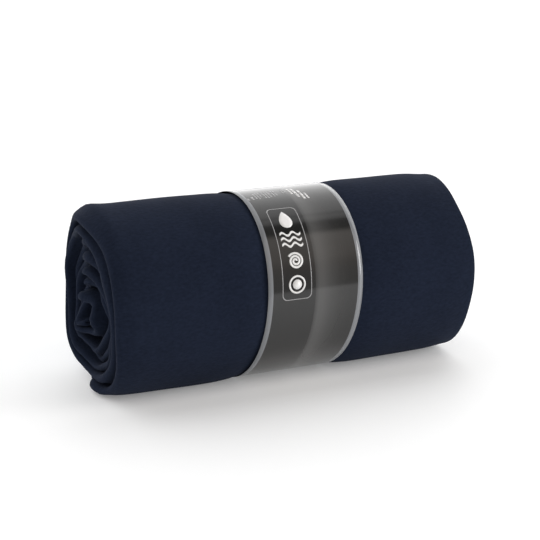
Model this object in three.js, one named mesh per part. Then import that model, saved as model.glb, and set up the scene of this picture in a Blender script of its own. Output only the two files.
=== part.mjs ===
// A quick-dry towel, folded in thirds, rolled up, and held by a printed film band.
//
// Millimetres. +X runs along the roll, -Y is the front and +Z is up. The origin is on the table,
// under the middle of the roll. The roll lies on a narrow flat that its own weight presses into it,
// and its free end is tucked in under it, in that flat.
//
// Angles round the roll start at straight down and grow towards the front, so 90 degrees is the
// front, 180 degrees the top and 270 degrees the back.
import * as THREE from "three";

// The towel, as one cloth folded in thirds across its width and then rolled along its length.
const TOWEL_WIDTH = 702;
const FOLDS_ACROSS = 3;
const PLY = 2.25; // one thickness of the brushed cloth
const PLY_AIR = 0.14; // loose air with each ply of the roll
const ROLL_RADIUS = 57; // the outer wrap, where nothing presses on it
const CONTACT_SAG = 2; // how far the roll's weight flattens it
const FREE_END_ANGLE = -10; // the free end lies just behind straight down
const END_ROUND = 6; // the folded edges at the roll's two ends
const CORE_DROP = 9; // the core sits lower than the middle of the roll

// The sewing thread of the two end hems, each drawn as one raised bar.
const THREAD_WIDTH = 1.2;
const THREAD_HEIGHT = 0.8;
const HEM_WIDTH = 9; // from the free end to its row of stitches
const SEAT_GAP = 0.3; // air kept between two pieces that touch

// The care label, folded flat, which sticks out of the core at the right end.
const LABEL_WIDTH = 12;
const LABEL_LENGTH = 22;
const LABEL_THICKNESS = 0.6;
const LABEL_SETBACK = 1.5; // behind the roll's end
const HOLLOW_AIR = 2.7; // height left free in the core's hollow

// The band, a strip of film pulled tight round the roll and glued to itself at the back.
const BAND_WIDTH = 62;
const BAND_CENTRE_X = 3; // it isn't quite in the middle of the roll
const BAND_TOP_SHIFT = 5; // it sits askew: its top is this much further along X than its middle
const BAND_FRONT_SHIFT = 2.5; // and its front is this much further along X than its middle
const FILM = 0.3;
const BAND_CLEARANCE = 0.3;
const SEAM_ANGLE = 318; // the inner end of the film, low at the back
const SEAM_OVERLAP = 15;
const SEAM_RISE = 12; // length over which the film climbs onto its own inner end
const GLUE_MARGIN = 2; // bare film round the glue

const RADIAL_STEP = 5; // degrees from one point of a round outline to the next; it divides 90
const END_STEPS = 4; // steps in each rounded end

// Sizes that follow from the ones above.
const rollLength = TOWEL_WIDTH / FOLDS_ACROSS;
const wrap = FOLDS_ACROSS * (PLY + PLY_AIR);
const axisHeight = ROLL_RADIUS - CONTACT_SAG + BAND_CLEARANCE + FILM;
const flatHalfAngle = THREE.MathUtils.radToDeg(Math.acos(1 - CONTACT_SAG / ROLL_RADIUS));
const freeEndY = -ROLL_RADIUS * Math.sin(THREE.MathUtils.degToRad(FREE_END_ANGLE));
const rampStart = 300; // from here the outer wrap sinks to the level of the wrap inside it
const rampEnd = 360 + FREE_END_ANGLE;
const threadLength = rollLength - 2 * (END_ROUND + GLUE_MARGIN);

// A point of the roll's section, in the YZ plane and measured from the roll's axis. The table
// cuts the bottom off flat.
function sectionPoint(degrees, radius) {
  const angle = THREE.MathUtils.degToRad(degrees);
  const floor = -(ROLL_RADIUS - CONTACT_SAG);
  return new THREE.Vector2(-radius * Math.sin(angle), Math.max(-radius * Math.cos(angle), floor));
}

// The outer wrap goes once round from the free end, and sinks by one wrap before it dives under.
function wrapRadius(degrees) {
  return ROLL_RADIUS - wrap * THREE.MathUtils.smoothstep(degrees, rampStart, rampEnd);
}

// Angles from one limit to the other, both included, with every step of RADIAL_STEP between them.
function anglesBetween(from, to) {
  const angles = [from];
  for (let degrees = Math.ceil(from / RADIAL_STEP) * RADIAL_STEP; degrees < to; degrees += RADIAL_STEP) {
    if (degrees > from && Math.abs(degrees) > flatHalfAngle) angles.push(degrees);
  }
  angles.push(to);
  return angles;
}

// The row of stitches across the free end's hem lies in the flat, in a groove of its own.
const grooveHalf = THREAD_WIDTH / 2 + SEAT_GAP;
const grooveCentreY = freeEndY - HEM_WIDTH;
const grooveTop = -(ROLL_RADIUS - CONTACT_SAG) + THREAD_HEIGHT + 2 * SEAT_GAP;

function towelOutline() {
  const bottom = -(ROLL_RADIUS - CONTACT_SAG);
  const groove = [
    new THREE.Vector2(grooveCentreY + grooveHalf, bottom),
    new THREE.Vector2(grooveCentreY + grooveHalf, grooveTop),
    new THREE.Vector2(grooveCentreY - grooveHalf, grooveTop),
    new THREE.Vector2(grooveCentreY - grooveHalf, bottom),
  ];
  const round = anglesBetween(flatHalfAngle, rampEnd).map((a) => sectionPoint(a, wrapRadius(a)));
  return [new THREE.Vector2(freeEndY, bottom), ...groove, ...round];
}

// Extrudes a YZ outline along X from one place to another. The outline's x is the part's Y, and
// its y is the part's Z above the roll's axis.
function extrudeAlongX(outline, fromX, toX, steps = 1, hole = null) {
  const shape = new THREE.Shape(outline);
  if (hole) shape.holes.push(new THREE.Path(hole));
  const geometry = new THREE.ExtrudeGeometry(shape, { depth: toX - fromX, steps, bevelEnabled: false });
  const alongX = new THREE.Matrix4().makeBasis(
    new THREE.Vector3(0, 1, 0),
    new THREE.Vector3(0, 0, 1),
    new THREE.Vector3(1, 0, 0),
  );
  alongX.setPosition(fromX, 0, axisHeight);
  return geometry.applyMatrix4(alongX);
}

function rectangle(centreY, centreZ, width, height) {
  const [y, z] = [width / 2, height / 2];
  return [[-y, -z], [y, -z], [y, z], [-y, z]].map(([a, b]) => new THREE.Vector2(centreY + a, centreZ + b));
}

// The hollow in the core is a flat slot with round sides. The label and the stitches of the
// towel's other end hem lie in it.
const hollowHeight = THREAD_HEIGHT + LABEL_THICKNESS + 2 * SEAT_GAP + HOLLOW_AIR;
const hollowFloor = -CORE_DROP - hollowHeight / 2;

function hollowOutline() {
  const path = new THREE.Path();
  const straight = LABEL_WIDTH / 2;
  path.absarc(straight, -CORE_DROP, hollowHeight / 2, -Math.PI / 2, Math.PI / 2, false);
  path.absarc(-straight, -CORE_DROP, hollowHeight / 2, Math.PI / 2, 1.5 * Math.PI, false);
  return path.getPoints(6);
}

// The towel's ends are rounded: the extrusion's steps are shared out over the two round edges, and
// each one draws the outline in. The core hardly moves.
function roundEnds(geometry) {
  const position = geometry.getAttribute("position");
  const steps = 2 * END_STEPS + 1;
  for (let i = 0; i < position.count; i++) {
    const step = Math.round((position.getX(i) / rollLength + 0.5) * steps);
    const fromEnd = Math.min(step, steps - step);
    const turn = (fromEnd / END_STEPS) * (Math.PI / 2);
    const inFromEnd = END_ROUND * (1 - Math.cos(turn));
    const y = position.getY(i);
    const z = position.getZ(i) - axisHeight;
    const share = Math.hypot(y, z) / ROLL_RADIUS;
    const shrink = 1 - (END_ROUND / ROLL_RADIUS) * (1 - Math.sin(turn)) * share ** 2;
    const side = step <= END_STEPS ? -1 : 1;
    position.setXYZ(i, side * (rollLength / 2 - inFromEnd), y * shrink, z * shrink + axisHeight);
  }
  return geometry;
}

function towelCloth() {
  const steps = 2 * END_STEPS + 1;
  return roundEnds(
    extrudeAlongX(towelOutline(), -rollLength / 2, rollLength / 2, steps, hollowOutline()),
  );
}

function freeEndStitching() {
  const z = grooveTop - SEAT_GAP - THREAD_HEIGHT / 2;
  return extrudeAlongX(
    rectangle(grooveCentreY, z, THREAD_WIDTH, THREAD_HEIGHT),
    -threadLength / 2,
    threadLength / 2,
  );
}

function coreEndStitching() {
  const z = hollowFloor + SEAT_GAP + THREAD_HEIGHT / 2;
  return extrudeAlongX(
    rectangle(0, z, THREAD_WIDTH, THREAD_HEIGHT),
    -threadLength / 2,
    threadLength / 2,
  );
}

function careLabel() {
  const z = hollowFloor + 2 * SEAT_GAP + THREAD_HEIGHT + LABEL_THICKNESS / 2;
  const end = rollLength / 2 - LABEL_SETBACK;
  return extrudeAlongX(rectangle(0, z, LABEL_WIDTH, LABEL_THICKNESS), end - LABEL_LENGTH, end);
}

// The tightest loop round a set of points, anticlockwise as seen with +Y to the right.
function convexLoop(points) {
  const sorted = [...points].sort((a, b) => a.x - b.x || a.y - b.y);
  const turnsLeft = (a, b, c) => (b.x - a.x) * (c.y - a.y) - (b.y - a.y) * (c.x - a.x) > 1e-6;
  const chain = (list) => {
    const kept = [];
    for (const point of list) {
      while (kept.length > 1 && !turnsLeft(kept.at(-2), kept.at(-1), point)) kept.pop();
      kept.push(point);
    }
    return kept.slice(0, -1);
  };
  return [...chain(sorted), ...chain(sorted.reverse())];
}

// The film's path is the tight loop, walked backwards up the back from the seam. Each place on
// it is a point and the outward normal there, by the distance walked from the film's inner end.
function filmPath() {
  const loop = convexLoop(towelOutline());
  const normals = loop.map((point, i) => {
    const before = loop.at(i - 1);
    const after = loop[(i + 1) % loop.length];
    return new THREE.Vector2(after.y - before.y, before.x - after.x).normalize();
  });
  const seam = sectionPoint(SEAM_ANGLE, ROLL_RADIUS);
  const nearest = loop.reduce((best, p, i) => (p.distanceTo(seam) < loop[best].distanceTo(seam) ? i : best), 0);
  const places = [];
  let walked = 0;
  for (let i = 0; i <= loop.length; i++) {
    const here = (nearest + i) % loop.length;
    if (i > 0) walked += loop[here].distanceTo(loop[(nearest + i - 1) % loop.length]);
    places.push({ at: walked, point: loop[here], normal: normals[here] });
  }
  return { places, round: walked };
}

// A place on the film's path at any distance, past one full round as well, lifted off the towel.
function filmPoint(path, distance, lift) {
  const at = distance % path.round;
  const next = Math.max(1, path.places.findIndex((place) => place.at >= at));
  const [a, b] = [path.places[next - 1], path.places[next]];
  const share = (at - a.at) / (b.at - a.at);
  const normal = a.normal.clone().lerp(b.normal, share).normalize();
  return a.point.clone().lerp(b.point, share).addScaledVector(normal, lift);
}

// The strip's own section: one side out along the path, and the other side back.
function stripOutline(path, from, to, liftAt, thickness) {
  const stops = [from, to];
  for (const place of path.places) stops.push(place.at, place.at + path.round);
  for (let s = path.round - SEAM_RISE; s < path.round; s += SEAM_RISE / 6) stops.push(s);
  const inside = [...new Set(stops)].filter((s) => s >= from && s <= to).sort((a, b) => a - b);
  const spaced = inside.filter((s, i) => i === 0 || s === to || s - inside[i - 1] > 0.5);
  const near = spaced.map((s) => filmPoint(path, s, liftAt(s)));
  const far = spaced.map((s) => filmPoint(path, s, liftAt(s) + thickness));
  return [...far, ...near.reverse()];
}

const path = filmPath();
const seamLift = 2 * FILM + 2 * SEAT_GAP; // inner end, glue and the air on both its sides

// The band sits askew on the roll, so each point of it moves along X by its height and depth.
function skewed(geometry) {
  const perHeight = BAND_TOP_SHIFT / ROLL_RADIUS;
  const perDepth = -BAND_FRONT_SHIFT / ROLL_RADIUS;
  const skew = new THREE.Matrix4().set(
    1, perDepth, perHeight, -perHeight * axisHeight,
    0, 1, 0, 0,
    0, 0, 1, 0,
    0, 0, 0, 1,
  );
  return geometry.applyMatrix4(skew);
}

function banderole() {
  const liftAt = (s) =>
    BAND_CLEARANCE +
    seamLift * THREE.MathUtils.smoothstep(s, path.round - SEAM_RISE, path.round - GLUE_MARGIN / 2);
  const outline = stripOutline(path, 0, path.round + SEAM_OVERLAP, liftAt, FILM);
  return skewed(extrudeAlongX(outline, BAND_CENTRE_X - BAND_WIDTH / 2, BAND_CENTRE_X + BAND_WIDTH / 2));
}

function glueStrip() {
  const liftAt = () => BAND_CLEARANCE + FILM + SEAT_GAP;
  const outline = stripOutline(path, GLUE_MARGIN, SEAM_OVERLAP - GLUE_MARGIN, liftAt, FILM);
  const half = BAND_WIDTH / 2 - GLUE_MARGIN;
  return skewed(extrudeAlongX(outline, BAND_CENTRE_X - half, BAND_CENTRE_X + half));
}

const clothMaterial = new THREE.MeshStandardMaterial({ color: 0x262d3d, roughness: 0.95, metalness: 0 });
const threadMaterial = new THREE.MeshStandardMaterial({ color: 0x1b2130, roughness: 0.8, metalness: 0 });
const labelMaterial = new THREE.MeshStandardMaterial({ color: 0xe9e8e4, roughness: 0.7, metalness: 0 });
const filmMaterial = new THREE.MeshStandardMaterial({ color: 0x2c2b2b, roughness: 0.15, metalness: 0 });
const glueMaterial = new THREE.MeshStandardMaterial({ color: 0xd8d3c4, roughness: 0.5, metalness: 0 });

function piece(name, geometry, material) {
  const mesh = new THREE.Mesh(geometry, material);
  mesh.name = name;
  return mesh;
}

const towel = new THREE.Group();
towel.add(
  piece("towel_cloth", towelCloth(), clothMaterial),
  piece("free_end_stitching", freeEndStitching(), threadMaterial),
  piece("core_end_stitching", coreEndStitching(), threadMaterial),
  piece("care_label", careLabel(), labelMaterial),
);

const band = new THREE.Group();
band.add(
  piece("banderole", banderole(), filmMaterial),
  piece("glue_strip", glueStrip(), glueMaterial),
);

const rolledTowel = new THREE.Group();
rolledTowel.add(towel, band);

export default rolledTowel;
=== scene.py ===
# A quick-dry towel for travelling: one brushed navy cloth, folded in thirds, rolled up and held
# by a glossy printed band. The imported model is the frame, and every new piece rides on it.
import math

import bmesh
import bpy
from mathutils import Matrix, Vector, geometry, noise


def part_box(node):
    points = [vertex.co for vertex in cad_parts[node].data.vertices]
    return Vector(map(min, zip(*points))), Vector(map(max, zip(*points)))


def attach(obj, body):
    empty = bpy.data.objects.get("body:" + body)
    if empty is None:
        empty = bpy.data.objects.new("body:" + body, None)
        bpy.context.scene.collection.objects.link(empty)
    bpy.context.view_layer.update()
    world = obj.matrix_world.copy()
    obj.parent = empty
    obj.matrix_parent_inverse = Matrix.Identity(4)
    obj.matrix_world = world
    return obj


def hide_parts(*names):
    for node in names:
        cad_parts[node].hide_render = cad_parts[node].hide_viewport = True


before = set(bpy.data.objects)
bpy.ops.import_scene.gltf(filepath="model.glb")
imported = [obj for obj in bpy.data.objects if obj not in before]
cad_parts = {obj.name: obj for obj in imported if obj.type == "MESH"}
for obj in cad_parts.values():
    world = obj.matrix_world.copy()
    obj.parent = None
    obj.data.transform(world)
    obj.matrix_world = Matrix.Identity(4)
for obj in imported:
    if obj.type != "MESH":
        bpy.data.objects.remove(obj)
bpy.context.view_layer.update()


# ---------------------------------------------------------------- the rolled cloth
# One brushed microfibre sheet, 70 x 140 cm. Its sides are folded in, one third over the other,
# and it is rolled up from one end, so that every wrap is three plies thick.

MM = 0.001
PLIES = 3
WRAP = 7.17 * MM  # three plies and the air between them
PLY_STEP = WRAP / PLIES
PLY_THICK = 1.85 * MM
TURNS = 7.0
HEM_INSET = 4 * MM  # the innermost hem stops short of the right end
FOLD_GAP = 2.6 * PLY_STEP  # the middle ply's hem stops short of the left fold
CONTACT_SAG = 2.0 * MM  # the roll's weight flattens it where it lies
SINK_SHARE = 0.124  # share of a turn, low at the back, where a wrap sinks to the one inside it
FREE_END_ANGLE = math.radians(-10)  # the free end lies just behind straight down
CORE_DROP = 13 * MM  # the core has settled lower and further back than the middle of the roll
CORE_BACK = 12 * MM
END_PINCH = 0.32  # share by which a wrap's plies are squeezed together at the roll's left end
END_REACH = 55 * MM  # how far in from an end the wraps start to shift along the roll
BAND_TOP_SHIFT = 5 * MM  # the band sits askew: its top and its front stand further along X
BAND_FRONT_SHIFT = 2.5 * MM

cloth_low, cloth_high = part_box("towel_cloth")
roll_length = cloth_high.x - cloth_low.x
roll_radius = (cloth_high.y - cloth_low.y) / 2
half_length = roll_length / 2
axis_height = cloth_low.z + roll_radius - CONTACT_SAG
flat_share = 1 - CONTACT_SAG / roll_radius

band_low, band_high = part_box("banderole")
band_askew = math.hypot(BAND_TOP_SHIFT, BAND_FRONT_SHIFT)
band_middle = (band_low.x + band_high.x) / 2
band_width = band_high.x - band_low.x - 2 * band_askew
band_left = band_middle - band_width / 2


def smooth(value, low=0.0, high=1.0):
    share = min(1.0, max(0.0, (value - low) / (high - low)))
    return share * share * (3 - 2 * share)


def wobble(x, y, z, seed=0.0):
    return noise.noise(Vector((x, y, z + 31.7 * seed)))


def wrap_radius(turns):
    """Outer radius of the wrap that lies this many turns in from the free end."""
    whole = math.floor(turns)
    return roll_radius - WRAP * (whole + smooth(turns - whole, 1 - SINK_SHARE, 1))


def fold_path(distance):
    """Where a place across the flat cloth lies once its sides are folded in: along the roll, and
    how deep under the outer ply. The left third is innermost and the right third lies between."""
    left_bend = PLY_STEP
    right_bend = PLY_STEP / 2
    inner_run = roll_length - left_bend - HEM_INSET
    outer_run = roll_length - left_bend - right_bend
    if distance < inner_run:
        return half_length - HEM_INSET - distance, 2 * PLY_STEP
    distance -= inner_run
    if distance < math.pi * left_bend:
        turn = distance / left_bend
        x = -half_length + left_bend - left_bend * math.sin(turn)
        return x, left_bend + left_bend * math.cos(turn)
    distance -= math.pi * left_bend
    if distance < outer_run:
        return -half_length + left_bend + distance, 0.0
    distance -= outer_run
    if distance < math.pi * right_bend:
        turn = distance / right_bend
        x = half_length - right_bend + right_bend * math.sin(turn)
        return x, right_bend - right_bend * math.cos(turn)
    distance -= math.pi * right_bend
    return half_length - right_bend - distance, PLY_STEP


# Distances across the flat cloth at which each fold starts and ends.
left_fold_at = roll_length - PLY_STEP - HEM_INSET
inner_ply_at = roll_length - HEM_INSET  # counted back from the left end
outer_ply_at = left_fold_at + math.pi * PLY_STEP
right_fold_at = outer_ply_at + roll_length - 1.5 * PLY_STEP
middle_ply_at = right_fold_at + math.pi * PLY_STEP / 2
cloth_across = middle_ply_at + roll_length - 0.5 * PLY_STEP - FOLD_GAP


def spread(stops):
    """Stations from stop to stop: each stop is a place and the number of steps up to the next."""
    stations = []
    for (place, steps), (after, _) in zip(stops, stops[1:]):
        stations += [place + (after - place) * i / steps for i in range(steps)]
    return stations + [stops[-1][0]]


# The stations lie closer in the folds, near the ends and on the outer wraps.
END_ZONE = 16 * MM
across_stations = spread([
    (0.0, 4),
    (END_ZONE, 6),
    (left_fold_at - END_ZONE, 5),
    (left_fold_at, 10),
    (outer_ply_at, 6),
    (outer_ply_at + END_ZONE, 54),
    (right_fold_at - END_ZONE, 6),
    (right_fold_at, 8),
    (middle_ply_at, 5),
    (middle_ply_at + END_ZONE, 6),
    (cloth_across - END_ZONE, 5),
    (cloth_across, 1),
])
turn_stations = spread([
    (0.0, 100), (1.0, 54), (2.0, 44), (3.0, 36), (4.0, 30), (5.0, 24), (6.0, 20), (TURNS, 1)
])

# How far the wraps' edges stand out past the roll's ends, in mm. A tuck goes by whole turns in
# from the outside, and a slant by eighths of a turn round from the bottom.
LEFT_TUCK = [0.0, 0.5, 0.0, -6.0, -1.0, -9.0, -1.0, -1.0, -1.0]
RIGHT_TUCK = [0.0, -2.0, 1.5, -4.0, -2.0, -6.0, -5.0, -7.0, -7.0]
LEFT_SLANT = [-3.5, -4.0, -2.5, -1.0, 3.0, -3.5, -3.0, 2.0, -3.5]
RIGHT_SLANT = [0.0, -0.5, -0.5, 0.5, 3.5, 2.0, 0.0, 0.0, 0.0]
LOOSE_OUTSIDE = 2.5  # mm: how uneven the edges are, and how much more so towards the core
LOOSE_INSIDE = 4.0
ROUGH_ROUND = 0.9  # how closely an edge's bends follow each other round the roll, and inwards
ROUGH_INWARDS = 1.15
LIP_OUT = 4.0  # mm: the free end's left corner sticks out in a lip, just behind its hem
LIP_AT = 0.05  # turns in from the free end
LIP_SPREAD = 0.035
HEM_BACK = 3.0  # mm: the hem's own corner stands back from the lip
HEM_BACK_UP_TO = 0.04  # turns in from the free end


def end_shift(side, turns, angle):
    """How far a wrap's edge stands out past the roll's end, at its left (-1) or right (+1) end."""
    tucks, slants = (LEFT_TUCK, LEFT_SLANT) if side < 0 else (RIGHT_TUCK, RIGHT_SLANT)
    whole = int(turns)
    tuck = tucks[whole] + (tucks[whole + 1] - tucks[whole]) * smooth(turns - whole)
    around = (math.cos(angle) * ROUGH_ROUND, math.sin(angle) * ROUGH_ROUND)
    rough = wobble(*around, turns * ROUGH_INWARDS, 3 + side)
    loose = (LOOSE_OUTSIDE + LOOSE_INSIDE * turns / TURNS) * rough
    eighths = (angle / (2 * math.pi) % 1) * 8
    low = int(eighths) % 8
    slant = slants[low] + (slants[low + 1] - slants[low]) * smooth(eighths - int(eighths))
    lip = 0.0
    if side < 0:
        hump = math.exp(-(((turns - LIP_AT) / LIP_SPREAD) ** 2))
        lip = LIP_OUT * hump - HEM_BACK * (1 - smooth(turns, 0, HEM_BACK_UP_TO))
    return (tuck + loose + slant + lip) * MM


def band_skew(outward):
    """How far along X the band sits at a place round the roll, given the way outwards there."""
    return BAND_TOP_SHIFT * outward.z - BAND_FRONT_SHIFT * outward.y


# The skin of the roll, in mm: the waist under the band and the swelling beside it, how far the
# skin rounds off towards each end, and its slack and creases.
WAIST = 1.3
SWELLING = 0.8
LEFT_ROUND_OFF = 0.8
RIGHT_ROUND_OFF = 1.6
LEFT_TOP_FLARE = 2.2  # the top of the left end swells out, and rounds over at its very edge
LEFT_TOP_CORNER = 4.0
SLACK = 0.9
SLACK_LENGTH = 75 * MM
SLACK_ROUND = 1.1  # how closely its bends follow each other round the roll
SLACK_DRIFT = 0.13  # how much the slack differs from wrap to wrap
CREASES = 0.28
CREASE_LENGTH = 26 * MM
CREASES_ROUND = 1.9  # times as many as the slack's bends


def skin_offset(x, angle, turns):
    """Swelling and slack of the rolled cloth, outwards, in metres."""
    outward = Vector((0, -math.sin(angle), -math.cos(angle)))
    topmost = max(0.0, outward.z)
    from_band = abs(x - band_middle - band_skew(outward)) - band_width / 2
    waist = -WAIST * (1 - smooth(from_band, -6 * MM, 7 * MM))
    fading = 1 - 0.5 * smooth(from_band, 30 * MM, 80 * MM)
    swelling = SWELLING * smooth(from_band, -1 * MM, 16 * MM) * fading
    round_off = LEFT_ROUND_OFF - LEFT_TOP_FLARE * topmost if x < 0 else RIGHT_ROUND_OFF
    shoulder = -round_off * smooth(abs(x), half_length - 22 * MM, half_length + 1 * MM) ** 1.3
    if x < 0:
        corner = smooth(-x, half_length - 10 * MM, half_length + 1 * MM) ** 2
        shoulder -= LEFT_TOP_CORNER * topmost * corner
    around = outward * SLACK_ROUND
    slack = SLACK * wobble(x / SLACK_LENGTH, around.y, around.z, 1 + SLACK_DRIFT * turns)
    finer = (around.y * CREASES_ROUND, around.z * CREASES_ROUND)
    creases = CREASES * wobble(x / CREASE_LENGTH, *finer, 7)
    return (waist + swelling + shoulder + slack + creases) * MM


CRUSH = 7 * MM  # how far the loose inner wraps are pushed about, and the size of their bends
CRUSH_BEND = 24 * MM
CRUSH_LENGTH = 200 * MM
CRUSH_SEEDS = (11, 17)  # at the left and the right end


def crush(y, z, x, share):
    """How the loose inner wraps are pushed about together, in metres, at the roll's ends."""
    near_end = smooth(abs(x), half_length - 80 * MM, half_length - 10 * MM)
    loose = (1 - share ** 4) * smooth(share, -0.1, 0.45) * near_end * CRUSH
    seed = CRUSH_SEEDS[0] if x < 0 else CRUSH_SEEDS[1]
    up = wobble(y / CRUSH_BEND, z / CRUSH_BEND, x / CRUSH_LENGTH, seed)
    back = wobble(y / CRUSH_BEND, z / CRUSH_BEND, x / CRUSH_LENGTH, seed + 2)
    return back * loose, up * loose


def rolled(distance, turns):
    """The place in the roll of a point of the flat cloth."""
    x, depth = fold_path(distance)
    pinch = END_PINCH * (1 - smooth(x, -half_length + PLY_STEP, -half_length + 9 * MM))
    depth += (PLY_STEP - depth) * pinch
    angle = 2 * math.pi * turns + FREE_END_ANGLE
    radius = wrap_radius(turns) - PLY_THICK / 2 - depth
    share = radius / roll_radius
    left = 1 - smooth(x, -half_length, -half_length + END_REACH)
    right = smooth(x, half_length - END_REACH, half_length)
    x += -end_shift(-1, turns, angle) * left + end_shift(1, turns, angle) * right
    radius += skin_offset(x, angle, turns) * share * share
    y = -radius * math.sin(angle) + CORE_BACK * (1 - share)
    z = -radius * min(math.cos(angle), flat_share) - CORE_DROP * (1 - share)
    back, up = crush(y, z, x, share)
    lowest = cloth_low.z + PLY_THICK / 2 + depth
    return Vector((x, y + back, max(lowest, axis_height + z + up)))


def piece(name, bm, material):
    mesh = bpy.data.meshes.new(name)
    bm.to_mesh(mesh)
    bm.free()
    made = bpy.data.objects.new(name, mesh)
    bpy.context.scene.collection.objects.link(made)
    mesh.materials.append(material)
    for polygon in mesh.polygons:
        polygon.use_smooth = True
    return made


def sheet_grid(columns, rows, place, measure):
    """A grid of stations, each moved to its place, with its flat position as its UV."""
    bm = bmesh.new()
    bmesh.ops.create_grid(bm, x_segments=len(columns) - 1, y_segments=len(rows) - 1, size=0.5)
    uv = bm.loops.layers.uv.new("flat")
    station = {}
    for vert in bm.verts:
        column = round((vert.co.x + 0.5) * (len(columns) - 1))
        row = round((vert.co.y + 0.5) * (len(rows) - 1))
        station[vert] = (columns[column], rows[row])
    for face in bm.faces:
        for loop in face.loops:
            loop[uv].uv = measure(*station[loop.vert])
    for vert, (across, along) in station.items():
        vert.co = place(across, along)
    return bm


def thickened(target, thickness):
    """Gives a sheet its thickness, half on each side of it."""
    solid = target.modifiers.new("thickness", "SOLIDIFY")
    solid.thickness = thickness
    solid.offset = 0.0
    solid.use_even_offset = False


def math_node(tree, operation, *values):
    node = tree.nodes.new("ShaderNodeMath")
    node.operation = operation
    for socket, value in zip(node.inputs, values):
        if isinstance(value, (int, float)):
            socket.default_value = value
        else:
            tree.links.new(value, socket)
    return node.outputs["Value"]


def mix_colour(tree, factor, first, second):
    node = tree.nodes.new("ShaderNodeMix")
    node.data_type = "RGBA"
    tree.links.new(factor, node.inputs["Factor"])
    for socket, value in ((node.inputs["A"], first), (node.inputs["B"], second)):
        if isinstance(value, tuple):
            socket.default_value = value
        else:
            tree.links.new(value, socket)
    return node.outputs["Result"]


def node_group(name, inputs, outputs):
    group = bpy.data.node_groups.new(name, "ShaderNodeTree")
    for label, kind, default in inputs:
        socket = group.interface.new_socket(label, in_out="INPUT", socket_type=kind)
        if default is not None:
            socket.default_value = default
    for label, kind in outputs:
        group.interface.new_socket(label, in_out="OUTPUT", socket_type=kind)
    return group, group.nodes.new("NodeGroupInput"), group.nodes.new("NodeGroupOutput")


GRAIN_SHARE = 0.6  # how much of the cloth's light and dark is grain, and how much is clouds
CLOUD_SHARE = 0.4


def brushed_pile():
    """Short brushed fibres: a fine grain that lies one way, and clouds where it was stroked."""
    group, given, result = node_group(
        "brushed pile",
        [
            ("Dark", "NodeSocketColor", None),
            ("Light", "NodeSocketColor", None),
            ("Grain Scale", "NodeSocketFloat", 700.0),
            ("Cloud Scale", "NodeSocketFloat", 22.0),
        ],
        [("Color", "NodeSocketColor"), ("Height", "NodeSocketFloat")],
    )
    nodes, links = group.nodes, group.links
    coordinates = nodes.new("ShaderNodeTexCoord")
    stretch = nodes.new("ShaderNodeMapping")
    stretch.inputs["Scale"].default_value = (0.55, 1.0, 1.0)
    grain = nodes.new("ShaderNodeTexNoise")
    grain.inputs["Detail"].default_value = 2.0
    clouds = nodes.new("ShaderNodeTexNoise")
    clouds.inputs["Detail"].default_value = 3.0
    clouds.inputs["Roughness"].default_value = 0.6
    links.new(coordinates.outputs["Object"], stretch.inputs["Vector"])
    links.new(stretch.outputs["Vector"], grain.inputs["Vector"])
    links.new(coordinates.outputs["Object"], clouds.inputs["Vector"])
    links.new(given.outputs["Grain Scale"], grain.inputs["Scale"])
    links.new(given.outputs["Cloud Scale"], clouds.inputs["Scale"])
    cloudy = math_node(group, "MULTIPLY", clouds.outputs["Fac"], CLOUD_SHARE)
    blend = math_node(group, "MULTIPLY_ADD", grain.outputs["Fac"], GRAIN_SHARE, cloudy)
    colour = mix_colour(group, blend, given.outputs["Dark"], given.outputs["Light"])
    links.new(colour, result.inputs["Color"])
    links.new(grain.outputs["Fac"], result.inputs["Height"])
    return group


def principled(name, **values):
    material = bpy.data.materials.new(name)
    material.use_nodes = True
    shader = material.node_tree.nodes["Principled BSDF"]
    for label, value in values.items():
        shader.inputs[label.replace("_", " ")].default_value = value
    return material, shader


def add_bump(material, height, shader, strength, distance):
    bump = material.node_tree.nodes.new("ShaderNodeBump")
    bump.inputs["Strength"].default_value = strength
    bump.inputs["Distance"].default_value = distance
    material.node_tree.links.new(height, bump.inputs["Height"])
    material.node_tree.links.new(bump.outputs["Normal"], shader.inputs["Normal"])


navy_cloth, cloth_shader = principled(
    "navy brushed cloth",
    Roughness=0.95,
    Sheen_Weight=0.02,
    Sheen_Roughness=0.5,
    Sheen_Tint=(0.42, 0.5, 0.72, 1),
    Specular_IOR_Level=0.08,
)
cloth_pile = navy_cloth.node_tree.nodes.new("ShaderNodeGroup")
cloth_pile.node_tree = brushed_pile()
cloth_pile.inputs["Dark"].default_value = (0.0026, 0.0046, 0.0106, 1)
cloth_pile.inputs["Light"].default_value = (0.0164, 0.0236, 0.0462, 1)
navy_cloth.node_tree.links.new(cloth_pile.outputs["Color"], cloth_shader.inputs["Base Color"])
add_bump(navy_cloth, cloth_pile.outputs["Height"], cloth_shader, 0.5, 0.5 * MM)

towel = piece(
    "rolled_towel",
    sheet_grid(across_stations, turn_stations, rolled, lambda across, turns: (across, turns)),
    navy_cloth,
)
thickened(towel, PLY_THICK)
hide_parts("towel_cloth")
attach(towel, "towel")


# ---------------------------------------------------------------- the end hems' stitches
# Lockstitch in navy polyester across both ends of the towel, 9 mm in from the cut edge. One row
# lies under the roll and the other is wound up in its core.

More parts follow.
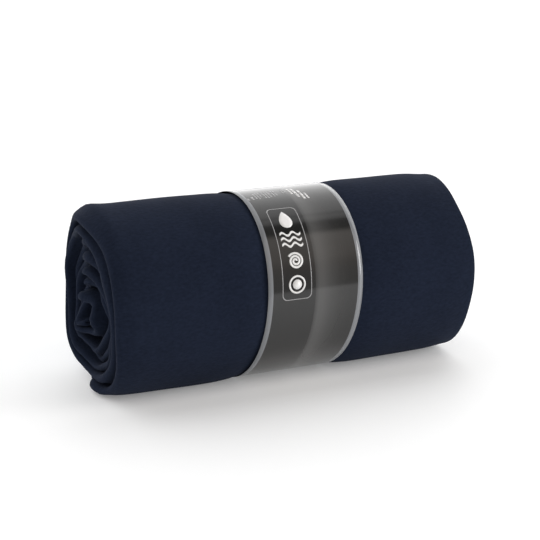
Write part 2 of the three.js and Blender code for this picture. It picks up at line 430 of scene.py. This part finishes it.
STITCH = 3.0 * MM
STITCH_GAP = 0.7 * MM
STITCH_LEAN = 0.12  # radians, as lockstitch lies
THREAD = 0.55 * MM
THREAD_SINK = 0.1 * MM  # how deep it is pulled into the cloth
HEM_WIDTH = 9 * MM
CORE_RADIUS = 9 * MM
thread_twist, thread_shader = principled("navy thread", Roughness=0.6, Sheen_Weight=0.2)
twist = thread_twist.node_tree
twist_wave = twist.nodes.new("ShaderNodeTexWave")
twist_wave.bands_direction = "DIAGONAL"
twist_wave.inputs["Scale"].default_value = 900
twist_map = twist.nodes.new("ShaderNodeTexCoord")
twist.links.new(twist_map.outputs["Object"], twist_wave.inputs["Vector"])
twist_colour = mix_colour(
    twist, twist_wave.outputs["Fac"], (0.006, 0.009, 0.018, 1), (0.02, 0.027, 0.045, 1)
)
twist.links.new(twist_colour, thread_shader.inputs["Base Color"])
add_bump(thread_twist, twist_wave.outputs["Fac"], thread_shader, 0.5, 0.1 * MM)


def stitch_row(name, node, ply_start, direction, turns, inward):
    """Stitches along one ply of the cloth, a fixed number of turns in, on one of its two faces."""
    bm = bmesh.new()
    low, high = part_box(node)
    pitch = STITCH + STITCH_GAP
    along_roll = Vector((1, 0, 0))
    lean = Matrix.Rotation(STITCH_LEAN, 4, "Z")
    shape = Matrix.Diagonal((STITCH / 2, THREAD / 2, THREAD / 2, 1))
    for i in range(int((high.x - low.x) / pitch)):
        x = low.x + pitch * (i + 0.5)
        across = ply_start + direction * (x + half_length)
        place = rolled(across, turns)
        beside = rolled(across, turns + 0.002)
        outward = (beside - place).cross(along_roll).normalized()
        place = place + outward * (PLY_THICK / 2 - THREAD_SINK) * inward
        # The middle axis starts at the moved place, so a stitch is skewed, and flatter than round.
        axes = Matrix((along_roll, (beside - place).normalized(), outward)).transposed()
        turn = Matrix.Translation(place) @ axes.to_4x4() @ lean
        bmesh.ops.create_uvsphere(bm, u_segments=6, v_segments=5, radius=1, matrix=turn @ shape)
    bmesh.ops.recalc_face_normals(bm, faces=bm.faces)
    row = piece(name, bm, thread_twist)
    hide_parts(node)
    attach(row, "towel")


free_turns = HEM_WIDTH / (2 * math.pi * roll_radius)
core_turns = TURNS - HEM_WIDTH / (2 * math.pi * CORE_RADIUS)
stitch_row("free_end_stitches", "free_end_stitching", outer_ply_at, 1, free_turns, -1)
stitch_row("core_end_stitches", "core_end_stitching", inner_ply_at, -1, core_turns, 1)


# ---------------------------------------------------------------- the care label
# A white satin ribbon, folded in half with its fold outwards, and sewn into the hem in the core.
# It is blank.

RIBBON_THICK = 0.16 * MM
RIBBON_LOOP = 0.45 * MM  # half the height of the ribbon's fold
RIBBON_CURL = 0.9 * MM  # how far its sides have curled at the fold
RIBBON_CURVE = 2.4  # radians of a sine from side to side
RIBBON_BEND = math.pi * RIBBON_LOOP
label_low, label_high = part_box("care_label")
label_middle = (label_low + label_high) / 2
label_length = label_high.x - label_low.x
label_width = label_high.y - label_low.y
ribbon_run = label_length - RIBBON_LOOP
ribbon_length = 2 * ribbon_run + RIBBON_BEND

satin, satin_shader = principled("white satin", Roughness=0.42, Sheen_Weight=0.15)
weave = satin.node_tree
satin_map = weave.nodes.new("ShaderNodeUVMap")
satin_map.uv_map = "flat"
satin_weave = weave.nodes.new("ShaderNodeTexWave")
satin_weave.bands_direction = "X"
satin_weave.inputs["Scale"].default_value = 900
satin_weave.inputs["Distortion"].default_value = 0.6
weave.links.new(satin_map.outputs["UV"], satin_weave.inputs["Vector"])
satin_colour = mix_colour(
    weave, satin_weave.outputs["Fac"], (0.70, 0.69, 0.66, 1), (0.84, 0.83, 0.80, 1)
)
weave.links.new(satin_colour, satin_shader.inputs["Base Color"])
add_bump(satin, satin_weave.outputs["Fac"], satin_shader, 0.3, 0.05 * MM)


def ribbon_place(along, across):
    """Out along the lower leaf, round the fold and back along the upper leaf."""
    if along < ribbon_run:
        x, z = along, -RIBBON_LOOP
    elif along < ribbon_run + RIBBON_BEND:
        turn = (along - ribbon_run) / RIBBON_LOOP
        x, z = ribbon_run + RIBBON_LOOP * math.sin(turn), -RIBBON_LOOP * math.cos(turn)
    else:
        x, z = 2 * ribbon_run + RIBBON_BEND - along, RIBBON_LOOP
    curl = RIBBON_CURL * math.sin(across / label_width * RIBBON_CURVE)
    curl *= smooth(x, 0, label_length)
    return Vector((label_low.x + x, label_middle.y + across, label_middle.z + z + curl))


label_along = spread([
    (0.0, 14), (ribbon_run, 8), (ribbon_run + RIBBON_BEND, 14), (ribbon_length, 1)
])
label_across = [label_width * (i / 12 - 0.5) for i in range(13)]
label = piece(
    "blank_care_label",
    sheet_grid(label_along, label_across, ribbon_place, lambda along, across: (along, across)),
    satin,
)
thickened(label, RIBBON_THICK)
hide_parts("care_label")
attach(label, "towel")


# ---------------------------------------------------------------- the band
# A strip of glossy film, printed in two greys, pulled tight round the roll. It is a slip-on
# sleeve: its ends overlap low at the back, where they are glued.

FILM_THICK = 0.12 * MM
FILM_AIR = 0.25 * MM
SEAM_ANGLE = math.radians(318)  # round the roll from its lowest line
SEAM_OVERLAP = 15 * MM
SEAM_LIFT = 0.45 * MM  # the outer end stands off the inner one by the glue between them
SEAM_RISE = 14 * MM  # the length over which it rises
OUTLINE_POINTS = 240


def tight_loop():
    """The taut path of the film round the roll: points in the YZ plane, from the film's inner
    end, and how far along the film each one lies."""
    outline = []
    for i in range(OUTLINE_POINTS):
        turns = i / OUTLINE_POINTS
        angle = 2 * math.pi * turns + FREE_END_ANGLE
        radius = wrap_radius(turns) + FILM_AIR
        up = -radius * min(math.cos(angle), flat_share)
        outline.append(Vector((-radius * math.sin(angle), up)))
    loop = [outline[i] for i in geometry.convex_hull_2d(outline)]
    seam = Vector((-math.sin(SEAM_ANGLE), -math.cos(SEAM_ANGLE))) * roll_radius
    first = min(range(len(loop)), key=lambda i: (loop[i] - seam).length)
    loop = loop[first:] + loop[:first + 1]
    walked = [0.0]
    for before, here in zip(loop, loop[1:]):
        walked.append(walked[-1] + (here - before).length)
    return loop, walked


film_loop, film_walked = tight_loop()
film_round = film_walked[-1]


def off_axis(place):
    """The way outwards from the roll's axis at a place."""
    return Vector((0, place.y, place.z - axis_height)).normalized()


def film_place(across, along):
    """A place on the film: across is from its left edge, along from its inner end."""
    at = along % film_round
    i = max(1, next(k for k, walked in enumerate(film_walked) if walked >= at))
    share = (at - film_walked[i - 1]) / (film_walked[i] - film_walked[i - 1])
    point = film_loop[i - 1].lerp(film_loop[i], share)
    lift = SEAM_LIFT * smooth(along, film_round - SEAM_RISE, film_round)
    point += point.normalized() * lift
    outward = Vector((0, point.x, point.y)).normalized()
    return Vector((band_left + across + band_skew(outward), point.x, axis_height + point.y))


FILM_STEPS = 1500


def film_along(up_degrees):
    """How far along the film lies the line that looks this many degrees up from the front."""
    steps = [film_round * i / FILM_STEPS for i in range(FILM_STEPS)]
    aims = [film_place(0, along) for along in steps]
    errors = [abs(math.degrees(math.atan2(p.z - axis_height, -p.y)) - up_degrees) for p in aims]
    return steps[errors.index(min(errors))]


BORDER = 0.052  # shares of the band's width: the light edge strips, and where the dark half ends
DARK_HALF = 0.49
EDGE_GREY = (0.188, 0.198, 0.214, 1)
DARK_GREY = (0.0105, 0.0105, 0.0105, 1)
GLOW_GREY = (0.07, 0.07, 0.07, 1)
GLOW_WIDTH = 0.5  # share of the band's width that the glow fades over
GLOW = [  # share of the glow's width, strength
    (0.0, 0.0), (0.024, 0.55), (0.09, 1.0), (0.18, 0.95), (0.36, 0.5), (0.54, 0.2), (0.76, 0.04),
    (1.0, 0.0),
]
PANEL_BLACK = (0.004, 0.004, 0.004, 1)
PANEL_WIDTH = 19 * MM
PANEL_HEIGHT = 60 * MM
PANEL_CENTRE = 0.3  # share of the band's width
PANEL_UP = 33.8  # degrees up from the front
DOT_PITCH = 1.1 * MM
DOT_CUT = 0.35  # the higher it is, the smaller the dots
DOT_INK = 0.55
panel_along = film_along(PANEL_UP)


def colour_ramp(tree, factor, stops):
    """A colour ramp through the stops: each is a place from 0 to 1 and a colour."""
    ramp = tree.nodes.new("ShaderNodeValToRGB")
    tree.links.new(factor, ramp.inputs["Fac"])
    elements = ramp.color_ramp.elements
    for place, _ in stops[1:-1]:
        elements.new(place)
    for element, (place, colour) in zip(elements, stops):
        element.position = place
        element.color = colour
    return ramp.outputs["Color"]


def off_centre(tree, value, centre):
    """How far a value is from a centre."""
    return math_node(tree, "ABSOLUTE", math_node(tree, "SUBTRACT", value, centre))


def ripple(tree, value, turns):
    """A sine wave that makes this many turns for each unit of the value."""
    return math_node(tree, "SINE", math_node(tree, "MULTIPLY", value, 2 * math.pi * turns))


band_film, film_shader = principled(
    "printed film", Roughness=0.14, Coat_Weight=0.3, Coat_Roughness=0.06
)
ink = band_film.node_tree
flat_map = ink.nodes.new("ShaderNodeUVMap")
flat_map.uv_map = "flat"
flat_parts = ink.nodes.new("ShaderNodeSeparateXYZ")
ink.links.new(flat_map.outputs["UV"], flat_parts.inputs["Vector"])
across_share, along_film_m = flat_parts.outputs["X"], flat_parts.outputs["Y"]

# The two-tone ground: dark on the left, and on the right a glow that fades away from the step.
past_step = math_node(ink, "SUBTRACT", across_share, DARK_HALF)
glow_share = math_node(ink, "MULTIPLY", past_step, 1 / GLOW_WIDTH)
glow = colour_ramp(ink, glow_share, [(share, (lit, lit, lit, 1)) for share, lit in GLOW])
ground = mix_colour(ink, glow, DARK_GREY, GLOW_GREY)

# The panel's ground is blacker, with a fine screen of dots.
from_panel_x = off_centre(ink, across_share, PANEL_CENTRE)
from_panel_y = off_centre(ink, along_film_m, panel_along)
in_width = math_node(ink, "LESS_THAN", from_panel_x, PANEL_WIDTH / 2 / band_width)
in_height = math_node(ink, "LESS_THAN", from_panel_y, PANEL_HEIGHT / 2)
in_panel = math_node(ink, "MULTIPLY", in_width, in_height)
dots_x = ripple(ink, across_share, band_width / DOT_PITCH)
dots_y = ripple(ink, along_film_m, 1 / DOT_PITCH)
dots = math_node(ink, "GREATER_THAN", math_node(ink, "MULTIPLY", dots_x, dots_y), DOT_CUT)
panel_colour = mix_colour(ink, math_node(ink, "MULTIPLY", dots, DOT_INK), PANEL_BLACK, DARK_GREY)
printed = mix_colour(ink, in_panel, ground, panel_colour)

on_edge = math_node(ink, "GREATER_THAN", off_centre(ink, across_share, 0.5), 0.5 - BORDER)
printed = mix_colour(ink, on_edge, printed, EDGE_GREY)
ink.links.new(printed, film_shader.inputs["Base Color"])

across_film = [band_width * i / 24 for i in range(25)]
along_film = [(film_round + SEAM_OVERLAP) * i / 300 for i in range(301)]
banderole = piece(
    "printed_band",
    sheet_grid(across_film, along_film, film_place, lambda a, along: (a / band_width, along)),
    band_film,
)
thickened(banderole, FILM_THICK)
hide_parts("banderole")
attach(banderole, "band")


# ---------------------------------------------------------------- the band's printed signs
# Opaque white and grey inks, screened onto the film. A thin rounded frame holds plain signs: a
# drop, three waves, a rolled towel and a sun. Broken lines stand where small print would be.

INK_LIFT = 0.1 * MM
INK_THICK = 0.03 * MM
INK_FACET = 3 * MM  # the longest edge of a sign, so that it bends with the film
white_ink, _ = principled(
    "white ink", Roughness=0.3, Base_Color=(0.78, 0.78, 0.78, 1), Coat_Weight=0.2
)
grey_ink, _ = principled(
    "grey ink", Roughness=0.3, Base_Color=(0.33, 0.33, 0.34, 1), Coat_Weight=0.2
)


def split_long_edges(bm, longest):
    for _ in range(6):
        long_edges = [e for e in bm.edges if e.calc_length() > longest]
        if not long_edges:
            return
        bmesh.ops.subdivide_edges(bm, edges=long_edges, cuts=1, use_grid_fill=True)


def stamp(name, bm, across, up_degrees, material):
    """Lays a flat sign on the film. Its x is across the band, and its y runs up the film."""
    split_long_edges(bm, INK_FACET)
    along = film_along(up_degrees)
    climb = 1 if film_along(up_degrees + 10) > along else -1
    for vert in bm.verts:
        place = film_place(across + vert.co.x, along + climb * vert.co.y)
        vert.co = place + off_axis(place) * INK_LIFT
    bmesh.ops.recalc_face_normals(bm, faces=bm.faces)
    sign = piece(name, bm, material)
    thickened(sign, INK_THICK)
    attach(sign, "band")


def line_inwards(bm, share_x, share_y):
    """Turns an outline into a line, by extruding its edges inwards to these shares of its size."""
    inner = bmesh.ops.extrude_edge_only(bm, edges=list(bm.edges))
    moved = [v for v in inner["geom"] if isinstance(v, bmesh.types.BMVert)]
    bmesh.ops.scale(bm, verts=moved, vec=(share_x, share_y, 1))


def rounded_frame(width, height, corner, line):
    bm = bmesh.new()
    made = bmesh.ops.create_circle(bm, cap_ends=False, segments=36, radius=corner)
    for vert in made["verts"]:
        around = math.atan2(vert.co.y, vert.co.x) + 1e-4
        vert.co.x += math.copysign(width / 2 - corner, math.cos(around))
        vert.co.y += math.copysign(height / 2 - corner, math.sin(around))
    line_inwards(bm, 1 - 2 * line / width, 1 - 2 * line / height)
    return bm


def ring(radius, line):
    bm = bmesh.new()
    bmesh.ops.create_circle(bm, cap_ends=False, segments=40, radius=radius)
    line_inwards(bm, 1 - line / radius, 1 - line / radius)
    return bm


def disc(radius):
    bm = bmesh.new()
    bmesh.ops.create_circle(bm, cap_ends=True, cap_tris=True, segments=36, radius=radius)
    return bm


DROP_TAPER = 0.45  # the higher it is, the longer the drop's point
DROP_FULLNESS = 1.15


def drop(width, height):
    """A round sign that narrows to a point at its top."""
    bm = bmesh.new()
    bmesh.ops.create_circle(bm, cap_ends=True, cap_tris=True, segments=40, radius=1)
    for vert in bm.verts:
        up = vert.co.y
        vert.co.x *= width / 2 * max(0.0, (1 - up) / 2) ** DROP_TAPER * DROP_FULLNESS
        vert.co.y = up * height / 2
    return bm


def wave(width, line, swing, crests):
    bm = bmesh.new()
    bmesh.ops.create_grid(bm, x_segments=36, y_segments=1, size=0.5)
    for vert in bm.verts:
        rise = math.sin(vert.co.x * 2 * math.pi * crests) * swing
        vert.co = Vector((vert.co.x * width, vert.co.y * line + rise, 0))
    return bm


def spiral(radius, line, rounds):
    bm = bmesh.new()
    bmesh.ops.create_grid(bm, x_segments=90, y_segments=1, size=0.5)
    for vert in bm.verts:
        along = vert.co.x + 0.5
        out = line / 2 + (radius - line) * along + vert.co.y * line
        around = 2 * math.pi * rounds * along
        vert.co = Vector((out * math.cos(around), out * math.sin(around), 0))
    return bm


DASHES = [1.5, 0.8, 2.1, 1.2, 0.7, 1.8, 1.0]  # mm
DASH_GAP = 0.45 * MM


def dashes(width, height, first):
    """A broken line, as long as height, where small print would be."""
    bm = bmesh.new()
    start = -height / 2
    while start < height / 2:
        length = min(DASHES[first % len(DASHES)] * MM, height / 2 - start)
        middle = Matrix.Translation((0, start + length / 2, 0))
        shape = Matrix.Diagonal((width, length, 1, 1))
        bmesh.ops.create_grid(bm, x_segments=1, y_segments=1, size=0.5, matrix=middle @ shape)
        start += length + DASH_GAP
        first += 1
    return bm


FRAME_CORNER = 3.2 * MM
FRAME_LINE = 0.45 * MM
DROP_UP = PANEL_UP + 20.5  # degrees up from the front, as the next four are
WAVES_UP = PANEL_UP + 10
WAVE_STEP = 3.6
ROLL_UP = PANEL_UP - 7.2
SUN_UP = PANEL_UP - 21
panel_x = PANEL_CENTRE * band_width
frame_bm = rounded_frame(PANEL_WIDTH, PANEL_HEIGHT, FRAME_CORNER, FRAME_LINE)
stamp("frame_line", frame_bm, panel_x, PANEL_UP, grey_ink)
stamp("drop_sign", drop(width=9 * MM, height=12.5 * MM), panel_x, DROP_UP, white_ink)
for i in range(3):
    wave_bm = wave(width=13.5 * MM, line=1.5 * MM, swing=1.1 * MM, crests=2)
    stamp(f"wave_sign_{i + 1}", wave_bm, panel_x, WAVES_UP - WAVE_STEP * i, white_ink)
spiral_bm = spiral(radius=5.6 * MM, line=1.3 * MM, rounds=2.4)
stamp("rolled_sign", spiral_bm, panel_x, ROLL_UP, white_ink)
stamp("sun_sign", disc(radius=2.9 * MM), panel_x, SUN_UP, white_ink)
stamp("sun_ring", ring(radius=5.4 * MM, line=1.1 * MM), panel_x, SUN_UP, white_ink)

PRINT_LINES = [  # mm across the band, degrees up, width and height of a line in mm, ink
    (3.6, 76.5, 1.5, 3.0, grey_ink),
    (6.8, 77.5, 1.5, 4.0, grey_ink),
    (9.4, 80.0, 0.9, 8.0, grey_ink),
    (11.2, 80.0, 0.9, 9.0, grey_ink),
    (13.0, 81.0, 0.9, 7.0, grey_ink),
    (15.6, 80.5, 0.9, 9.5, grey_ink),
    (17.4, 80.5, 0.9, 9.5, grey_ink),
    (19.2, 81.0, 0.9, 8.5, grey_ink),
    (21.8, 81.5, 0.9, 9.0, grey_ink),
    (23.6, 82.0, 0.9, 8.0, grey_ink),
    (28.6, 83.0, 0.9, 6.0, grey_ink),
    (30.4, 83.5, 0.9, 7.0, grey_ink),
    (33.6, 82.5, 1.2, 9.0, white_ink),
    (36.0, 80.0, 1.5, 13.0, white_ink),
    (38.8, 77.0, 1.5, 12.0, white_ink),
    (41.4, 74.5, 1.2, 7.0, white_ink),
]
for i, (across, up, width, height, line_ink) in enumerate(PRINT_LINES):
    stamp(f"small_print_{i + 1}", dashes(width * MM, height * MM, i), across * MM, up, line_ink)


# ---------------------------------------------------------------- the glue in the band's seam
# A thin pad of clear hot-melt between the film's two ends. It stops short of the film's edges,
# and squeezed out a little unevenly.

GLUE_THICK = 0.2 * MM
GLUE_EDGE = 2 * MM
GLUE_UNEVEN = 0.025 * MM
GLUE_LUMPS = 180  # per metre
glue_melt, _ = principled(
    "clear hot-melt", Roughness=0.35, Base_Color=(0.6, 0.57, 0.47, 1), Subsurface_Weight=0.2
)
glue_across = [GLUE_EDGE + (band_width - 2 * GLUE_EDGE) * i / 20 for i in range(21)]
glue_along = [GLUE_EDGE + (SEAM_OVERLAP - 2 * GLUE_EDGE) * i / 8 for i in range(9)]


def glue_place(across, along):
    place = film_place(across, along)
    uneven = GLUE_UNEVEN * noise.noise(Vector((across, along, 0)) * GLUE_LUMPS)
    return place + off_axis(place) * (SEAM_LIFT / 2 + uneven)


glue = piece(
    "glue_pad",
    sheet_grid(glue_across, glue_along, glue_place, lambda across, along: (across, along)),
    glue_melt,
)
thickened(glue, GLUE_THICK)
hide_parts("glue_strip")
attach(glue, "band")


# ---------------------------------------------------------------- the table top and the studio
# A pale table top, in a studio of soft panels that glow at different heights, with one softbox
# low on the right.

floor_material, floor_shader = principled(
    "pale table",
    Roughness=0.6,
    Base_Color=(0.84, 0.855, 0.87, 1),
    Emission_Color=(1, 1, 1, 1),
    Emission_Strength=0.18,
)
floor_bm = bmesh.new()
bmesh.ops.create_grid(floor_bm, x_segments=1, y_segments=1, size=6)
floor = piece("table_top", floor_bm, floor_material)

# The studio round the object, by the angle up from the front: a dim warm room in front of the
# table, a ceiling panel, a dark gap overhead, and a bright backdrop that rises from behind.
STUDIO = [
    (0, (0.48, 0.47, 0.46)),
    (18, (0.54, 0.52, 0.50)),
    (28, (0.62, 0.57, 0.53)),
    (38, (0.86, 0.79, 0.73)),
    (66, (1.02, 0.95, 0.89)),
    (72, (0.16, 0.16, 0.15)),
    (84, (0.20, 0.20, 0.20)),
    (88, (0.80, 0.80, 0.80)),
    (93, (1.0, 1.0, 1.0)),
    (96, (0.70, 0.70, 0.70)),
    (99, (1.15, 1.15, 1.15)),
    (125, (1.4, 1.4, 1.4)),
    (150, (1.7, 1.7, 1.7)),
    (180, (2.0, 2.0, 2.0)),
]
STUDIO_SCALE = 4.0  # a ramp's colours end at 1, so they are divided by this and lit up again
world = bpy.data.worlds.new("studio")
bpy.context.scene.world = world
world.use_nodes = True
sky = world.node_tree
direction = sky.nodes.new("ShaderNodeTexCoord")
sky_parts = sky.nodes.new("ShaderNodeSeparateXYZ")
sky.links.new(direction.outputs["Generated"], sky_parts.inputs["Vector"])
forward = math_node(sky, "MULTIPLY", sky_parts.outputs["Y"], -1)
up_angle = math_node(sky, "ARCTAN2", sky_parts.outputs["Z"], forward)
panels = [
    (degrees / 180, (*[c / STUDIO_SCALE for c in colour], 1)) for degrees, colour in STUDIO
]
panel_light = colour_ramp(sky, math_node(sky, "DIVIDE", up_angle, math.pi), panels)
sky.links.new(panel_light, sky.nodes["Background"].inputs["Color"])
sky.nodes["Background"].inputs["Strength"].default_value = STUDIO_SCALE

roll_middle = Vector((0, 0, axis_height))
softbox_light = bpy.data.lights.new("low right", "AREA")
softbox_light.shape = "RECTANGLE"
softbox_light.size = 0.8
softbox_light.size_y = 0.8
softbox_light.energy = 14
softbox = bpy.data.objects.new("low right", softbox_light)
softbox.location = (1.45, -0.75, 0.5)
softbox.rotation_euler = (roll_middle - softbox.location).to_track_quat("-Z", "Y").to_euler()
bpy.context.scene.collection.objects.link(softbox)

CAMERA_AZIMUTH = math.radians(-24)
CAMERA_ELEVATION = math.radians(16.2)
CAMERA_DISTANCE = 0.875
CAMERA_LENS = 93.3
CAMERA_AIM = Vector((1.6 * MM, 0, 5.7 * MM))  # from the middle of the roll
camera_data = bpy.data.cameras.new("camera")
camera_data.lens = CAMERA_LENS
camera_data.sensor_width = 36
camera_data.clip_start = 0.01
camera = bpy.data.objects.new("camera", camera_data)
bpy.context.scene.collection.objects.link(camera)
toward = Vector((
    math.sin(CAMERA_AZIMUTH) * math.cos(CAMERA_ELEVATION),
    -math.cos(CAMERA_AZIMUTH) * math.cos(CAMERA_ELEVATION),
    math.sin(CAMERA_ELEVATION),
))
camera.location = roll_middle + CAMERA_AIM + toward * CAMERA_DISTANCE
camera.rotation_euler = (-toward).to_track_quat("-Z", "Y").to_euler()
bpy.context.scene.camera = camera
bpy.context.scene.view_settings.view_transform = "Standard"
